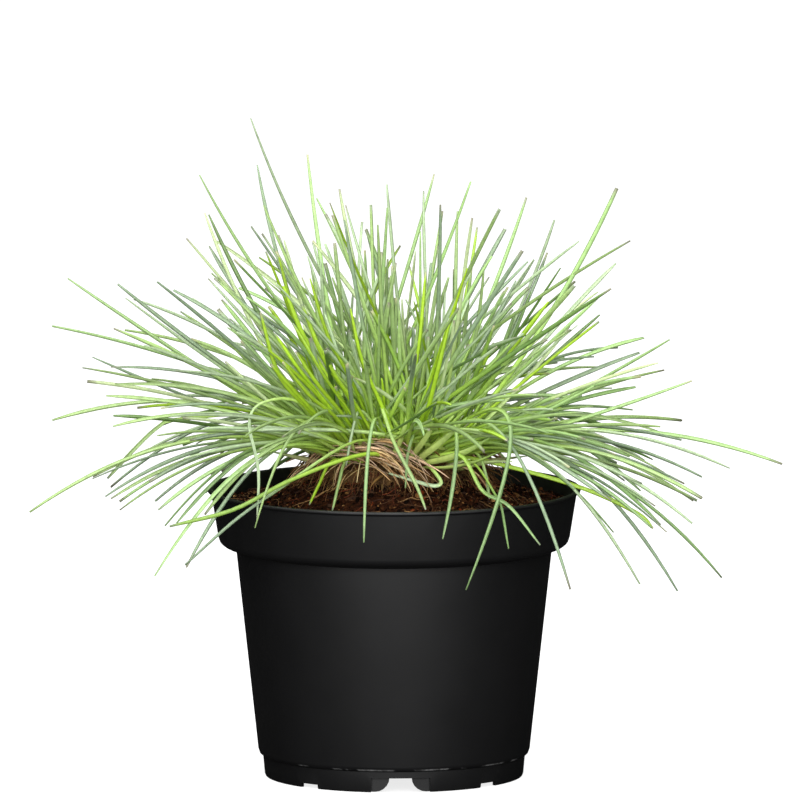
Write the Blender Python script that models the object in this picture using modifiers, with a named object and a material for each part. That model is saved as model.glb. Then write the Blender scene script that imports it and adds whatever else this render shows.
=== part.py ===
"""Potted blue fescue clump: a nursery pot, its growing medium, the crown and the leaf tufts.

Units are metres, +Z is up and the front of the pot faces -Y. The origin is on the pot's axis,
at the level that its feet stand on. Driving dimensions are in millimetres below.
"""

import math

import bmesh
import bpy
from mathutils import Matrix, Vector

MM = 0.001
NAME = "potted_blue_fescue"

# Pot: outer radii and heights.
POT_STEPS = 56
RIM_TOP = 131.3
RIM_RADIUS = 84.8
RIM_BEAD = 1.6
COLLAR_TOP_RADIUS = 83.0
COLLAR_BOTTOM_RADIUS = 79.8
COLLAR_BOTTOM = 109.6
COLLAR_CORNER = 4.4
BODY_TOP_RADIUS = 71.7
BODY_TOP = 103.9
BODY_BOTTOM_RADIUS = 61.6
BODY_BOTTOM = 12.0
LEDGE = 9.9
FOOT_TOP_RADIUS = 59.5
FOOT_RADIUS = 58.6
FOOT_WALL = 2.0
WALL = 1.2
FLOOR_TOP = 9.6
FLOOR_UNDER = 8.0

# Arches in the foot ring, one close to the front and two more at a third of a turn.
ARCHES = 3
ARCH_AZIMUTH = 273.0
ARCH_HALF_WIDTH = 13.4
ARCH_HEIGHT = 6.6
WEB_RADIUS = 6.4
WEB_THICKNESS = 1.3
WEB_ROOT = 3.5
# A shallow relief under the foot ring on both sides of the front arch, in degrees from the arch's middle.
RELIEF_START = 39.0
RELIEF_END = 49.0
RELIEF_DEPTH = 2.0
RELIEF_RADIUS = 57.5
DRAIN_HOLES = 6
DRAIN_RADIUS = 5.0
DRAIN_CIRCLE = 41.0
DRAIN_START = 97.0

# Growing medium, which is mounded under the crown, and crown.
GAP = 0.4
SOIL_EDGE = 123.6
SOIL_MIDDLE = 137.0
MOUND_TOP_RADIUS = 37.0
MOUND_FOOT_RADIUS = 60.0
SOIL_STEPS = 40
CROWN_RADIUS = 38.0
CROWN_HEIGHT = 20.0
CROWN_FOOT_RADIUS = 35.0
CROWN_STEPS = 24

# A tuft is a spindle round an arc from the crown to the tip of its longest leaf.
TUFT_POINTS = 8
TUFT_GAP = 1.3
DROOP_RISE = 0.32
TUFT_GIRTH = [(0.0, 0.40), (0.16, 0.68), (0.34, 0.96), (0.52, 1.0), (0.68, 0.72), (0.84, 0.34), (1.0, 0.12)]

# Tufts by ring: name, height of the base on the crown in degrees, first rise in degrees, girth radius,
# then for each tuft its azimuth, the tip's distance from the axis and the tip's height. A tuft whose tip
# hangs below the rim first rises steeper by DROOP_RISE degrees for each mm, so that it clears the rim.
# Azimuth 0 is +X (the right side), 90 the back and 270 the front.
TUFT_RINGS = [
    (
        "low", 8.0, 22.0, 7.6,
        [
            (2, 174.2, 141), (22, 152, 120), (44, 158, 128), (67, 150, 112), (90, 161, 130), (113, 152, 116),
            (136, 158, 132), (158, 150, 122), (180, 170.0, 121), (202, 150, 126), (223, 146, 104),
            (319, 146, 100), (340, 158, 94),
        ],
    ),
    (
        "side", 32.0, 44.0, 8.6,
        [
            (12, 137, 182), (39, 140, 190), (66, 134, 196), (93, 140, 186), (120, 136, 198), (147, 146, 192),
            (172, 156, 203), (197, 154, 178), (224, 140, 176), (250, 146, 172), (275, 160, 176),
            (299, 142, 172), (322, 136, 178), (346, 134, 172),
        ],
    ),
    (
        "upper", 55.0, 62.0, 8.4,
        [
            (4, 104, 243), (40, 96, 250), (76, 90, 246), (112, 94, 252), (148, 106, 240), (180, 100, 246),
            (214, 96, 232), (250, 92, 226), (288, 94, 224), (328, 96, 230),
        ],
    ),
    (
        "top", 78.0, 79.0, 6.6,
        [(60, 62, 268), (130, 66, 284), (182, 66, 300), (262, 34, 262), (340, 40, 276)],
    ),
]

# Single leaves that hang over the front rim: azimuth, crest's distance and height, tip's distance and height.
HANGING_GIRTH = 1.2
HANGING_LEAVES = [
    (237, 78, 168, 115, 126),
    (262.5, 70, 168, 102, 120),
    (287, 66, 168, 110, 99),
    (309.5, 80, 162, 125, 98),
]

# Finish of each piece: colour, roughness.
POT_FINISH = ((0.021, 0.021, 0.022), 0.42)
SOIL_FINISH = ((0.035, 0.016, 0.009), 0.95)
CROWN_FINISH = ((0.36, 0.27, 0.12), 0.85)
TUFT_FINISH = ((0.27, 0.42, 0.17), 0.6)
LEAF_FINISH = ((0.34, 0.48, 0.16), 0.6)


def clear_scene():
    for obj in list(bpy.data.objects):
        bpy.data.objects.remove(obj, do_unlink=True)


def make_collection(name):
    collection = bpy.data.collections.new(name)
    bpy.context.scene.collection.children.link(collection)
    return collection


def make_material(name, colour, roughness):
    material = bpy.data.materials.new(name)
    material.use_nodes = True
    shader = material.node_tree.nodes["Principled BSDF"]
    shader.inputs["Base Color"].default_value = (*colour, 1.0)
    shader.inputs["Roughness"].default_value = roughness
    shader.inputs["Metallic"].default_value = 0.0
    material.diffuse_color = (*colour, 1.0)
    return material


def add_object(name, data, collection, material=None):
    obj = bpy.data.objects.new(name, data)
    collection.objects.link(obj)
    if material is not None:
        data.materials.append(material)
    return obj


def on_circle(radius, azimuth_deg, height):
    """A point in metres from a distance to the axis, an azimuth and a height, all in mm and degrees."""
    angle = math.radians(azimuth_deg)
    return Vector((radius * math.cos(angle), radius * math.sin(angle), height)) * MM


def arc(centre_radius, centre_height, radius, start_deg, end_deg, count):
    """Points of an arc in the profile plane, as (radius, height) in mm."""
    points = []
    for i in range(count):
        angle = math.radians(start_deg + (end_deg - start_deg) * i / (count - 1))
        points.append(
            (centre_radius + radius * math.cos(angle), centre_height + radius * math.sin(angle))
        )
    return points


def turned(name, profile, steps, collection, material):
    """A solid of revolution about Z, from a profile of (radius, height) with both ends on the axis."""
    mesh = bpy.data.meshes.new(name)
    points = [(radius * MM, 0.0, height * MM) for radius, height in profile]
    mesh.from_pydata(points, [(i, i + 1) for i in range(len(points) - 1)], [])
    obj = add_object(name, mesh, collection, material)
    screw = obj.modifiers.new("turn", "SCREW")
    screw.axis = "Z"
    screw.steps = steps
    screw.render_steps = steps
    screw.use_merge_vertices = True
    screw.merge_threshold = 0.00001
    screw.use_smooth_shade = True
    return obj


def pot_profile():
    """Up the inside from the floor's middle, over the rim, down the outside and under the foot."""
    slope = (BODY_TOP_RADIUS - BODY_BOTTOM_RADIUS) / (BODY_TOP - BODY_BOTTOM)
    corner_radius = COLLAR_BOTTOM_RADIUS - COLLAR_CORNER
    inner_corner = arc(corner_radius, COLLAR_BOTTOM + WALL, COLLAR_CORNER - WALL, -66.0, -8.0, 3)
    outer_corner = arc(corner_radius, COLLAR_BOTTOM, COLLAR_CORNER, -8.0, -66.0, 4)
    bead = RIM_BEAD / 2
    inside = [
        (0.0, FLOOR_TOP),
        (BODY_BOTTOM_RADIUS - WALL - 2.4, FLOOR_TOP),
        (BODY_BOTTOM_RADIUS - WALL - 0.4, FLOOR_TOP + 2.0),
        (BODY_TOP_RADIUS - WALL + slope * WALL, BODY_TOP + WALL),
        *inner_corner,
        (COLLAR_TOP_RADIUS - WALL, RIM_TOP - RIM_BEAD),
    ]
    rim = [
        (COLLAR_TOP_RADIUS - WALL + 0.3, RIM_TOP - 0.5),
        (COLLAR_TOP_RADIUS - WALL + 0.9, RIM_TOP),
        *arc(RIM_RADIUS - bead, RIM_TOP - bead, bead, 84.0, -84.0, 6),
        (COLLAR_TOP_RADIUS, RIM_TOP - RIM_BEAD - 0.4),
    ]
    outside = [
        *outer_corner,
        (BODY_TOP_RADIUS, BODY_TOP),
        (BODY_BOTTOM_RADIUS, BODY_BOTTOM),
        (BODY_BOTTOM_RADIUS - 0.5, LEDGE + 0.7),
        (BODY_BOTTOM_RADIUS - 1.2, LEDGE),
        (FOOT_TOP_RADIUS, LEDGE - 0.4),
        (FOOT_RADIUS + 0.1, 0.8),
        (FOOT_RADIUS - 0.3, 0.0),
    ]
    underside = [
        (FOOT_RADIUS - FOOT_WALL, 0.0),
        (FOOT_RADIUS - FOOT_WALL, FLOOR_UNDER - 0.8),
        (FOOT_RADIUS - FOOT_WALL - 0.8, FLOOR_UNDER),
        (0.0, FLOOR_UNDER),
    ]
    return inside + rim + outside + underside


def as_cutter(obj):
    obj.hide_render = True
    obj.display_type = "WIRE"
    return obj


def block(name, size, matrix, collection):
    """A box of the given size in mm, placed by a matrix in metres, with its scale applied."""
    mesh = bpy.data.meshes.new(name)
    shape = bmesh.new()
    bmesh.ops.create_cube(shape, size=1.0)
    scale = Matrix.Diagonal((size[0] * MM, size[1] * MM, size[2] * MM, 1.0))
    bmesh.ops.transform(shape, matrix=scale, verts=shape.verts)
    shape.to_mesh(mesh)
    shape.free()
    obj = add_object(name, mesh, collection)
    obj.matrix_world = matrix
    return as_cutter(obj)


def facing_out(radius, azimuth_deg, height):
    """A matrix whose X runs out from the axis at an azimuth, at a distance and a height in mm."""
    turn = Matrix.Rotation(math.radians(azimuth_deg), 4, "Z")
    return Matrix.Translation(on_circle(radius, azimuth_deg, height)) @ turn


def relief_cutters(arch_azimuth, collection):
    """Boxes that raise the underside of the foot ring, on both sides of one arch."""
    width = RELIEF_RADIUS * math.radians(RELIEF_END - RELIEF_START)
    for side in (-1, 1):
        middle = arch_azimuth + side * (RELIEF_START + RELIEF_END) / 2
        name = f"relief_cut_{'left' if side < 0 else 'right'}"
        block(name, (8.0, width, RELIEF_DEPTH * 2), facing_out(RELIEF_RADIUS, middle, 0.0), collection)


def drain_cutter(index, collection):
    mesh = bpy.data.meshes.new(f"drain_cut_{index}")
    shape = bmesh.new()
    bmesh.ops.create_cone(
        shape, cap_ends=True, segments=12, radius1=DRAIN_RADIUS * MM, radius2=DRAIN_RADIUS * MM, depth=8 * MM
    )
    shape.to_mesh(mesh)
    shape.free()
    obj = add_object(mesh.name, mesh, collection)
    obj.location = on_circle(DRAIN_CIRCLE, DRAIN_START + 360 / DRAIN_HOLES * index, FLOOR_TOP)
    return as_cutter(obj)


def web_outline():
    """A quarter disc round the origin, with a root that runs into the foot ring."""
    points = [(WEB_RADIUS, 1.0)]
    for i in range(6):
        angle = math.radians(-90.0 * i / 5)
        points.append((WEB_RADIUS * math.cos(angle), WEB_RADIUS * math.sin(angle)))
    points += [(-WEB_ROOT, -WEB_RADIUS), (-WEB_ROOT, 1.0)]
    return points


def web(name, arch_azimuth, side, collection):
    """A quarter-round web behind the foot ring, made as a flat outline and turned into a mesh."""
    curve = bpy.data.curves.new(name, "CURVE")
    curve.dimensions = "2D"
    curve.fill_mode = "BOTH"
    curve.extrude = WEB_THICKNESS / 2 * MM
    outline = web_outline()
    spline = curve.splines.new("POLY")
    spline.points.add(len(outline) - 1)
    for point, (across, up) in zip(spline.points, outline):
        point.co = (across * MM, up * MM, 0.0, 1.0)
    spline.use_cyclic_u = True
    flat = add_object(name + "_outline", curve, collection)
    bpy.context.view_layer.update()
    evaluated = flat.evaluated_get(bpy.context.evaluated_depsgraph_get())
    mesh = bpy.data.meshes.new_from_object(evaluated)
    bpy.data.objects.remove(flat)
    shape = bmesh.new()
    shape.from_mesh(mesh)
    bmesh.ops.remove_doubles(shape, verts=shape.verts, dist=0.00001)
    # The outline's across runs towards the arch's middle, and its up runs along Z.
    across = Vector((0.0, -side, 0.0))
    frame = Matrix((across, (0, 0, 1), across.cross((0, 0, 1)))).transposed().to_4x4()
    half_angle = math.degrees(ARCH_HALF_WIDTH / FOOT_RADIUS)
    corner = facing_out(FOOT_RADIUS - FOOT_WALL + 0.2, arch_azimuth + side * (half_angle - 1.5), ARCH_HEIGHT)
    bmesh.ops.transform(shape, matrix=corner @ frame, verts=shape.verts)
    bmesh.ops.recalc_face_normals(shape, faces=shape.faces)
    shape.to_mesh(mesh)
    shape.free()
    return as_cutter(add_object(name, mesh, collection))


def make_pot(parts, cutters, webs):
    pot = turned("pot", pot_profile(), POT_STEPS, parts, make_material("pot", *POT_FINISH))
    relief_cutters(ARCH_AZIMUTH, cutters)
    for number in range(ARCHES):
        azimuth = ARCH_AZIMUTH + 360 / ARCHES * number
        size = (7.0, 2 * ARCH_HALF_WIDTH, 2 * ARCH_HEIGHT)
        block(f"arch_cut_{number}", size, facing_out(FOOT_RADIUS - 0.5, azimuth, 0.0), cutters)
        for side in (-1, 1):
            web(f"web_{number}_{'left' if side < 0 else 'right'}", azimuth, side, webs)
    for index in range(DRAIN_HOLES):
        drain_cutter(index, cutters)
    for name, collection, operation in (("cut", cutters, "DIFFERENCE"), ("webs", webs, "UNION")):
        boolean = pot.modifiers.new(name, "BOOLEAN")
        boolean.operand_type = "COLLECTION"
        boolean.collection = collection
        boolean.operation = operation
        boolean.solver = "EXACT"
    return pot


def make_growing_medium(parts):
    """A plug that fills the pot to below the rim and rises to a mound under the crown."""
    slope = (BODY_TOP_RADIUS - BODY_BOTTOM_RADIUS) / (BODY_TOP - BODY_BOTTOM)
    edge_radius = COLLAR_TOP_RADIUS - WALL - (RIM_TOP - SOIL_EDGE) * 0.12 - GAP
    profile = [
        (0.0, SOIL_MIDDLE),
        (MOUND_TOP_RADIUS, SOIL_MIDDLE),
        (MOUND_TOP_RADIUS + 10.0, SOIL_MIDDLE - 4.2),
        (MOUND_FOOT_RADIUS, SOIL_EDGE + 1.6),
        (edge_radius - 4.0, SOIL_EDGE + 0.3),
        (edge_radius - 0.4, SOIL_EDGE - 0.6),
        (COLLAR_BOTTOM_RADIUS - WALL - GAP - 0.3, COLLAR_BOTTOM + WALL + 0.6),
        (COLLAR_BOTTOM_RADIUS - COLLAR_CORNER - 0.4, BODY_TOP + WALL + 3.2),
        (BODY_TOP_RADIUS - WALL - GAP + slope, BODY_TOP + WALL + 1.6),
        (BODY_TOP_RADIUS - WALL - GAP - slope * 4, BODY_TOP - 4.0),
        (BODY_BOTTOM_RADIUS - WALL - GAP - 0.4, FLOOR_TOP + 2.6),
        (BODY_BOTTOM_RADIUS - WALL - GAP - 2.6, FLOOR_TOP + GAP),
        (0.0, FLOOR_TOP + GAP),
    ]
    return turned("growing_medium", profile, SOIL_STEPS, parts, make_material("growing_medium", *SOIL_FINISH))


def make_crown(parts):
    """A low dome of shoot bases, standing on the medium."""
    foot = SOIL_MIDDLE + GAP
    profile = [(0.0, foot + CROWN_HEIGHT)]
    for angle_deg in (66, 44, 22, 4):
        angle = math.radians(angle_deg)
        profile.append((CROWN_RADIUS * math.cos(angle), foot + CROWN_HEIGHT * math.sin(angle)))
    profile += [(CROWN_FOOT_RADIUS, foot), (0.0, foot)]
    return turned("crown", profile, CROWN_STEPS, parts, make_material("crown", *CROWN_FINISH))


def crown_point(azimuth_deg, height_deg, gap):
    """A point at a small gap outside the crown's dome."""
    angle = math.radians(height_deg)
    radius = (CROWN_RADIUS + gap) * math.cos(angle)
    height = SOIL_MIDDLE + GAP + (CROWN_HEIGHT + gap) * math.sin(angle)
    return on_circle(radius, azimuth_deg, height)


def bezier(start, control, end, t):
    return start * (1 - t) ** 2 + control * (2 * t * (1 - t)) + end * t**2


def girth_at(t):
    """The tuft's radius at a share of its length, as a share of its largest."""
    for (t0, g0), (t1, g1) in zip(TUFT_GIRTH, TUFT_GIRTH[1:]):
        if t <= t1:
            return g0 + (g1 - g0) * (t - t0) / (t1 - t0)
    return TUFT_GIRTH[-1][1]


def round_strand(name, points, radii, parts, material):
    """A six-sided strand along points in metres, with a radius in mm at each."""
    curve = bpy.data.curves.new(name, "CURVE")
    curve.dimensions = "3D"
    curve.bevel_depth = MM
    curve.bevel_resolution = 1
    curve.use_fill_caps = True
    spline = curve.splines.new("POLY")
    spline.points.add(len(points) - 1)
    for spline_point, point, radius in zip(spline.points, points, radii):
        spline_point.co = (*point, 1.0)
        spline_point.radius = radius
    return add_object(name, curve, parts, material)


def make_tuft(name, azimuth, base_height_deg, rise_deg, girth, tip_radius, tip_height, parts):
    start = crown_point(azimuth, base_height_deg, TUFT_GAP)
    tip = on_circle(tip_radius, azimuth, tip_height)
    rise = math.radians(rise_deg + DROOP_RISE * max(0.0, RIM_TOP - tip_height))
    outward = on_circle(1 / MM, azimuth, 0.0)
    control = start + (outward * math.cos(rise) + Vector((0, 0, math.sin(rise)))) * (tip - start).length * 0.5
    shares = [i / (TUFT_POINTS - 1) for i in range(TUFT_POINTS)]
    points = [bezier(start, control, tip, t) for t in shares]
    radii = [girth * girth_at(t) for t in shares]
    return round_strand(name, points, radii, parts, make_material(name, *TUFT_FINISH))


def make_tufts(parts):
    for ring, base_height_deg, rise_deg, girth, tufts in TUFT_RINGS:
        for number, (azimuth, tip_radius, tip_height) in enumerate(tufts, start=1):
            name = f"tuft_{ring}_{number:02d}"
            make_tuft(name, azimuth, base_height_deg, rise_deg, girth, tip_radius, tip_height, parts)


def make_hanging_leaves(parts):
    for number, (azimuth, crest_radius, crest, tip_radius, tip_height) in enumerate(HANGING_LEAVES, start=1):
        start = crown_point(azimuth, 6.0, TUFT_GAP)
        tip = on_circle(tip_radius, azimuth, tip_height)
        middle = on_circle(crest_radius, azimuth, crest)
        control = middle * 2 - (start + tip) / 2
        shares = [i / 7 for i in range(8)]
        points = [bezier(start, control, tip, t) for t in shares]
        radii = [HANGING_GIRTH * (1.0 - 0.65 * t * t) for t in shares]
        name = f"hanging_leaf_{number:02d}"
        round_strand(name, points, radii, parts, make_material(name, *LEAF_FINISH))


def main():
    clear_scene()
    parts = make_collection(NAME)
    cutters = make_collection(NAME + "_cutters")
    webs = make_collection(NAME + "_webs")
    make_pot(parts, cutters, webs)
    make_growing_medium(parts)
    make_crown(parts)
    make_tufts(parts)
    make_hanging_leaves(parts)


main()
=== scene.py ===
"""Looks of the potted blue fescue clump: the pot's plastic, the growing medium, the crown's thatch
and every leaf.

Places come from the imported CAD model: metres, +Z up, the front faces -Y. Lengths in the constants
and lists below are in millimetres and angles in degrees, and MM turns them into metres.
"""

import math
import random

import bmesh
import bpy
from mathutils import Matrix, Vector, noise


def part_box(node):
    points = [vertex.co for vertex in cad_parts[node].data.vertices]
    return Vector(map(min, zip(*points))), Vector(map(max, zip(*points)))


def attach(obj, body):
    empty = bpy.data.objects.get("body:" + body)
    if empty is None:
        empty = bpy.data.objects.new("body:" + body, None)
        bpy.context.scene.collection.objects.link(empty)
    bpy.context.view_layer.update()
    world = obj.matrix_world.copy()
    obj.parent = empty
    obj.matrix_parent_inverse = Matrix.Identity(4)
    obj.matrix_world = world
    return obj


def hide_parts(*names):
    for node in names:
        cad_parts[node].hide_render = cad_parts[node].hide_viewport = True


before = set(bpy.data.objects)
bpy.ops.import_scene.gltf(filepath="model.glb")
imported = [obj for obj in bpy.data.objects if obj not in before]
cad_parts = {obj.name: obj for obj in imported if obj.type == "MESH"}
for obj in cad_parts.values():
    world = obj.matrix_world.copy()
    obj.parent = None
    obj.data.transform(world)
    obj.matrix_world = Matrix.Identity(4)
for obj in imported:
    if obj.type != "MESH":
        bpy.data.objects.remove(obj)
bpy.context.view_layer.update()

MM = 0.001
SEED = 41

# Heights and radii that the looks share with the CAD model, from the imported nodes.
POT_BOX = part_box("pot")
SOIL_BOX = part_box("growing_medium")
CROWN_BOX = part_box("crown")
RIM_TOP = POT_BOX[1][2] / MM
RIM_RADIUS = POT_BOX[1][0] / MM
SOIL_TOP = SOIL_BOX[1][2] / MM
CROWN_FOOT = CROWN_BOX[0][2] / MM
CROWN_RADIUS = CROWN_BOX[1][0] / MM
CROWN_HEIGHT = (CROWN_BOX[1][2] - CROWN_BOX[0][2]) / MM

# The pot's ledge, where its body steps in to the foot ring. The pot's material paints a highlight along it.
LEDGE_HEIGHT = 10.4

# How leaves clear the pot: the rim's roll, from its outer edge inwards, the room above and beside it, the
# room above the growing medium, the steepest arch that is tried, and how many of a leaf's first points
# aren't tested, because they lie in the crown.
RIM_ROLL = 3.6
RIM_CLEARANCE = 1.6
SOIL_CLEARANCE = 1.5
STEEPEST_ARCH = 64
POINTS_IN_CROWN = 3

# The top of the growing medium, as distance from the axis and height: a mound that falls to its edge.
SOIL_PROFILE = [
    (0.0, SOIL_TOP), (37.0, SOIL_TOP), (47.0, SOIL_TOP - 4.2), (60.0, SOIL_TOP - 11.8),
    (76.5, SOIL_TOP - 13.1), (80.0, SOIL_TOP - 14.0),
]

# A leaf's cross-section, as shares of its width: across and up. It runs from the left edge round the
# rounded underside to the right edge and back through the channel of the upper side.
LEAF_SECTION = [
    (-0.46, 0.32), (-0.42, -0.08), (0.0, -0.36), (0.42, -0.08),
    (0.46, 0.32), (0.23, 0.20), (0.0, -0.04), (-0.23, 0.20),
]
# How far round each of those points is from the keel (0) over the edge (0.5) to the channel (1).
LEAF_FOLD = [0.5, 0.25, 0.0, 0.25, 0.5, 0.75, 1.0, 0.75]
LEAF_RINGS = 22
# Leaf widths below are those of the flattened blade. Folded, it shows a little narrower or wider.
WIDTH_SCALE = 1.12
# A flat, thin section for dead leaves, sheaths and fibres.
STRAW_SECTION = [(-0.5, 0.0), (0.0, -0.16), (0.5, 0.0), (0.0, 0.12)]
STRAW_FOLD = [0.5, 0.0, 0.5, 1.0]
STRAW_RINGS = 10

# A strip's cell in the UV map, as shares of it: what its two caps take at each end, where their middles
# lie, and the margin on its left and right. Then the most cells in a row.
UV_CAP = 0.04
UV_FOOT_CAP = 0.014
UV_TIP_CAP = 0.978
UV_MARGIN = 0.06
UV_COLUMNS = 40

# Leaf colours as sRGB bytes.
LEAF_COLOURS = {
    "grey": (168, 190, 148),
    "green": (144, 172, 104),
    "fresh": (148, 182, 112),
    "lime": (152, 190, 34),
    "pale": (188, 206, 152),
    "deep": (90, 124, 54),
    # Painted shade: a darker copy of the green for the low leaves and those that hang over the front.
    "shaded_green": (116, 148, 88),
    "sap": (138, 174, 76),
    "slate": (126, 148, 116),
}
SHOOT_COLOUR = (204, 222, 116)
# A real yellow-green of the inner leaves, made brighter as painted light against the shade inside the clump.
INNER_COLOUR = (190, 230, 58)
LEAF_TIP_COLOURS = [(136, 132, 112), (118, 118, 96), (168, 166, 128), (128, 142, 112)]
STRAW_COLOURS = [
    (214, 190, 138), (190, 160, 102), (166, 134, 76), (132, 98, 48), (92, 64, 28), (214, 172, 132),
    (190, 142, 100),
]
# Pale straw for the sheaf across the crown's front, made paler than the other straws as painted light against
# the shade it lies in.
SHEAF_COLOURS = [(240, 214, 170), (226, 192, 140), (242, 204, 168), (210, 168, 116), (176, 130, 82)]
SOIL_COLOURS = [(20, 6, 1), (32, 13, 5), (46, 22, 9), (62, 34, 16), (12, 4, 1)]
FLECK_COLOURS = [(112, 78, 44), (144, 108, 66), (92, 58, 30), (104, 44, 18)]

# The leaves that make the outline, by their tips: across, height as it shows from the front at eye
# level, distance behind the axis (+) or before it (-), colour, arch in degrees (how much steeper the
# leaf sets out than it would straight) and width.
OUTLINE_LEAVES = [
    # Upper left.
    (-65, 300, 6, "grey", -9, 1.9), (-62, 279, 24, "slate", -9, 1.7), (-59, 260, -26, "green", -7, 1.7),
    (-88, 274, -8, "fresh", -11, 1.8), (-86, 257, 28, "pale", -9, 1.5), (-39, 284, 50, "fresh", -8, 1.8),
    (-29, 261, -36, "lime", -6, 1.6), (-25, 268, 34, "pale", -7, 1.7), (-23, 253, -56, "slate", -5, 1.8),
    (-65, 251, 46, "slate", 3, 1.8), (-94, 245, -12, "pale", 3, 1.6), (-84, 242, 44, "slate", -4, 1.8),
    (-107, 225, -46, "slate", 4, 1.9), (-97, 212, 52, "green", 6, 1.9), (-78, 224, -62, "green", 5, 1.8),
    (-53, 224, -72, "grey", 4, 1.7), (-38, 234, 62, "green", 2, 1.6), (-84, 256, 4, "deep", -8, 1.8),
    # Upper middle.
    (-12, 249, 52, "slate", 1, 1.9), (-8, 251, -44, "green", 0, 1.7), (-3, 259, -16, "fresh", -2, 1.7),
    (14, 267, 26, "grey", -3, 1.7), (18, 275, 44, "fresh", -3, 1.6), (21, 260, -44, "slate", -2, 1.8),
    (29, 258, 50, "green", 0, 1.6), (35, 271, -8, "fresh", -4, 1.7), (36, 254, -52, "pale", 0, 1.6),
    (48, 258, -24, "green", 3, 2.3), (33, 231, -70, "lime", 3, 1.7), (43, 228, 70, "grey", 4, 1.7),
    # Upper right.
    (60, 264, 16, "fresh", -6, 1.8), (58, 239, -52, "slate", 2, 2.0), (61, 235, 60, "slate", 2, 1.8),
    (73, 254, 55, "grey", -7, 1.8), (70, 239, 52, "slate", -6, 1.5), (84, 244, 24, "grey", 4, 1.7),
    (101, 268, 0, "fresh", -9, 2.0), (107, 244, -8, "green", 7, 1.9), (101, 234, 44, "grey", 4, 1.7),
    (98, 222, -42, "deep", 2, 1.9), (93, 221, 50, "pale", 6, 1.5), (81, 223, -60, "green", 1, 2.2),
    # Right.
    (114, 200, 75, "fresh", 17, 1.8), (125, 199, 16, "fresh", -3, 1.7), (112, 193, 52, "slate", 6, 1.9),
    (119, 188, -50, "pale", 7, 1.6), (123, 185, 34, "green", 11, 1.9), (109, 177, -66, "deep", 10, 1.7),
    (135, 180, -4, "fresh", -3, 1.7), (131, 162, 42, "green", 16, 2.1), (120, 159, -58, "green", 14, 1.9),
    (130, 153, -34, "slate", 16, 1.9), (118, 144, 68, "deep", 24, 1.7), (176, 142, 4, "fresh", 22, 1.9),
    (152, 140, -20, "grey", 25, 1.7), (140, 136, 42, "slate", 26, 1.9), (131, 133, -42, "slate", 24, 1.8),
    (136, 125, 26, "green", 28, 1.7), (135, 115, -50, "grey", 30, 1.7), (118, 123, -68, "grey", 27, 1.8),
    (148, 90, -44, "shaded_green", 37, 1.7), (128, 84, -50, "slate", 37, 1.8), (123, 111, -60, "slate", 30, 1.7),
    (116, 113, -70, "shaded_green", 28, 1.8), (99, 111, -80, "shaded_green", 28, 1.7),
    # Left.
    (-148, 227, 8, "fresh", -2, 1.9), (-125, 224, -16, "slate", -4, 1.9), (-122, 218, 32, "grey", -2, 1.7),
    (-155, 205, 10, "fresh", 10, 1.8), (-113, 196, -50, "grey", 10, 1.6), (-108, 179, 58, "deep", 10, 1.7),
    (-137, 191, 24, "slate", -4, 1.7), (-141, 186, -24, "green", 9, 1.9), (-155, 162, 8, "green", 29, 1.9),
    (-130, 173, -40, "green", 11, 1.7), (-107, 155, -66, "green", 16, 1.7), (-137, 136, 44, "green", 28, 1.7),
    (-165, 120, -16, "green", 32, 1.9), (-130, 127, -50, "slate", 28, 1.8),
    (-124, 121, -50, "green", 30, 1.7), (-117, 130, 52, "green", 26, 1.7),
    (-106, 121, -66, "fresh", 28, 1.8), (-103, 114, -76, "shaded_green", 28, 1.7),
    (-98, 115, -60, "shaded_green", 30, 1.6), (-85, 119, -78, "green", 25, 1.7), (-94, 95, -70, "slate", 34, 1.7),
]
# Outline leaves from this width on were cut.
CUT_WIDTH = 2.0
# A leaf that leans towards the viewer shows lower than it is, by this share of its lean.
EYE_TILT = 0.135

# The hanging leaves that are CAD nodes of their own: colour, width and how far the blade's crest lies
# to the right of the CAD strand's.
HANGING_LOOKS = {
    "hanging_leaf_01": ("green", 1.6, 0.0),
    "hanging_leaf_02": ("shaded_green", 1.5, 0.0),
    "hanging_leaf_03": ("shaded_green", 1.8, 34.0),
    "hanging_leaf_04": ("slate", 1.7, 0.0),
}

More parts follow.
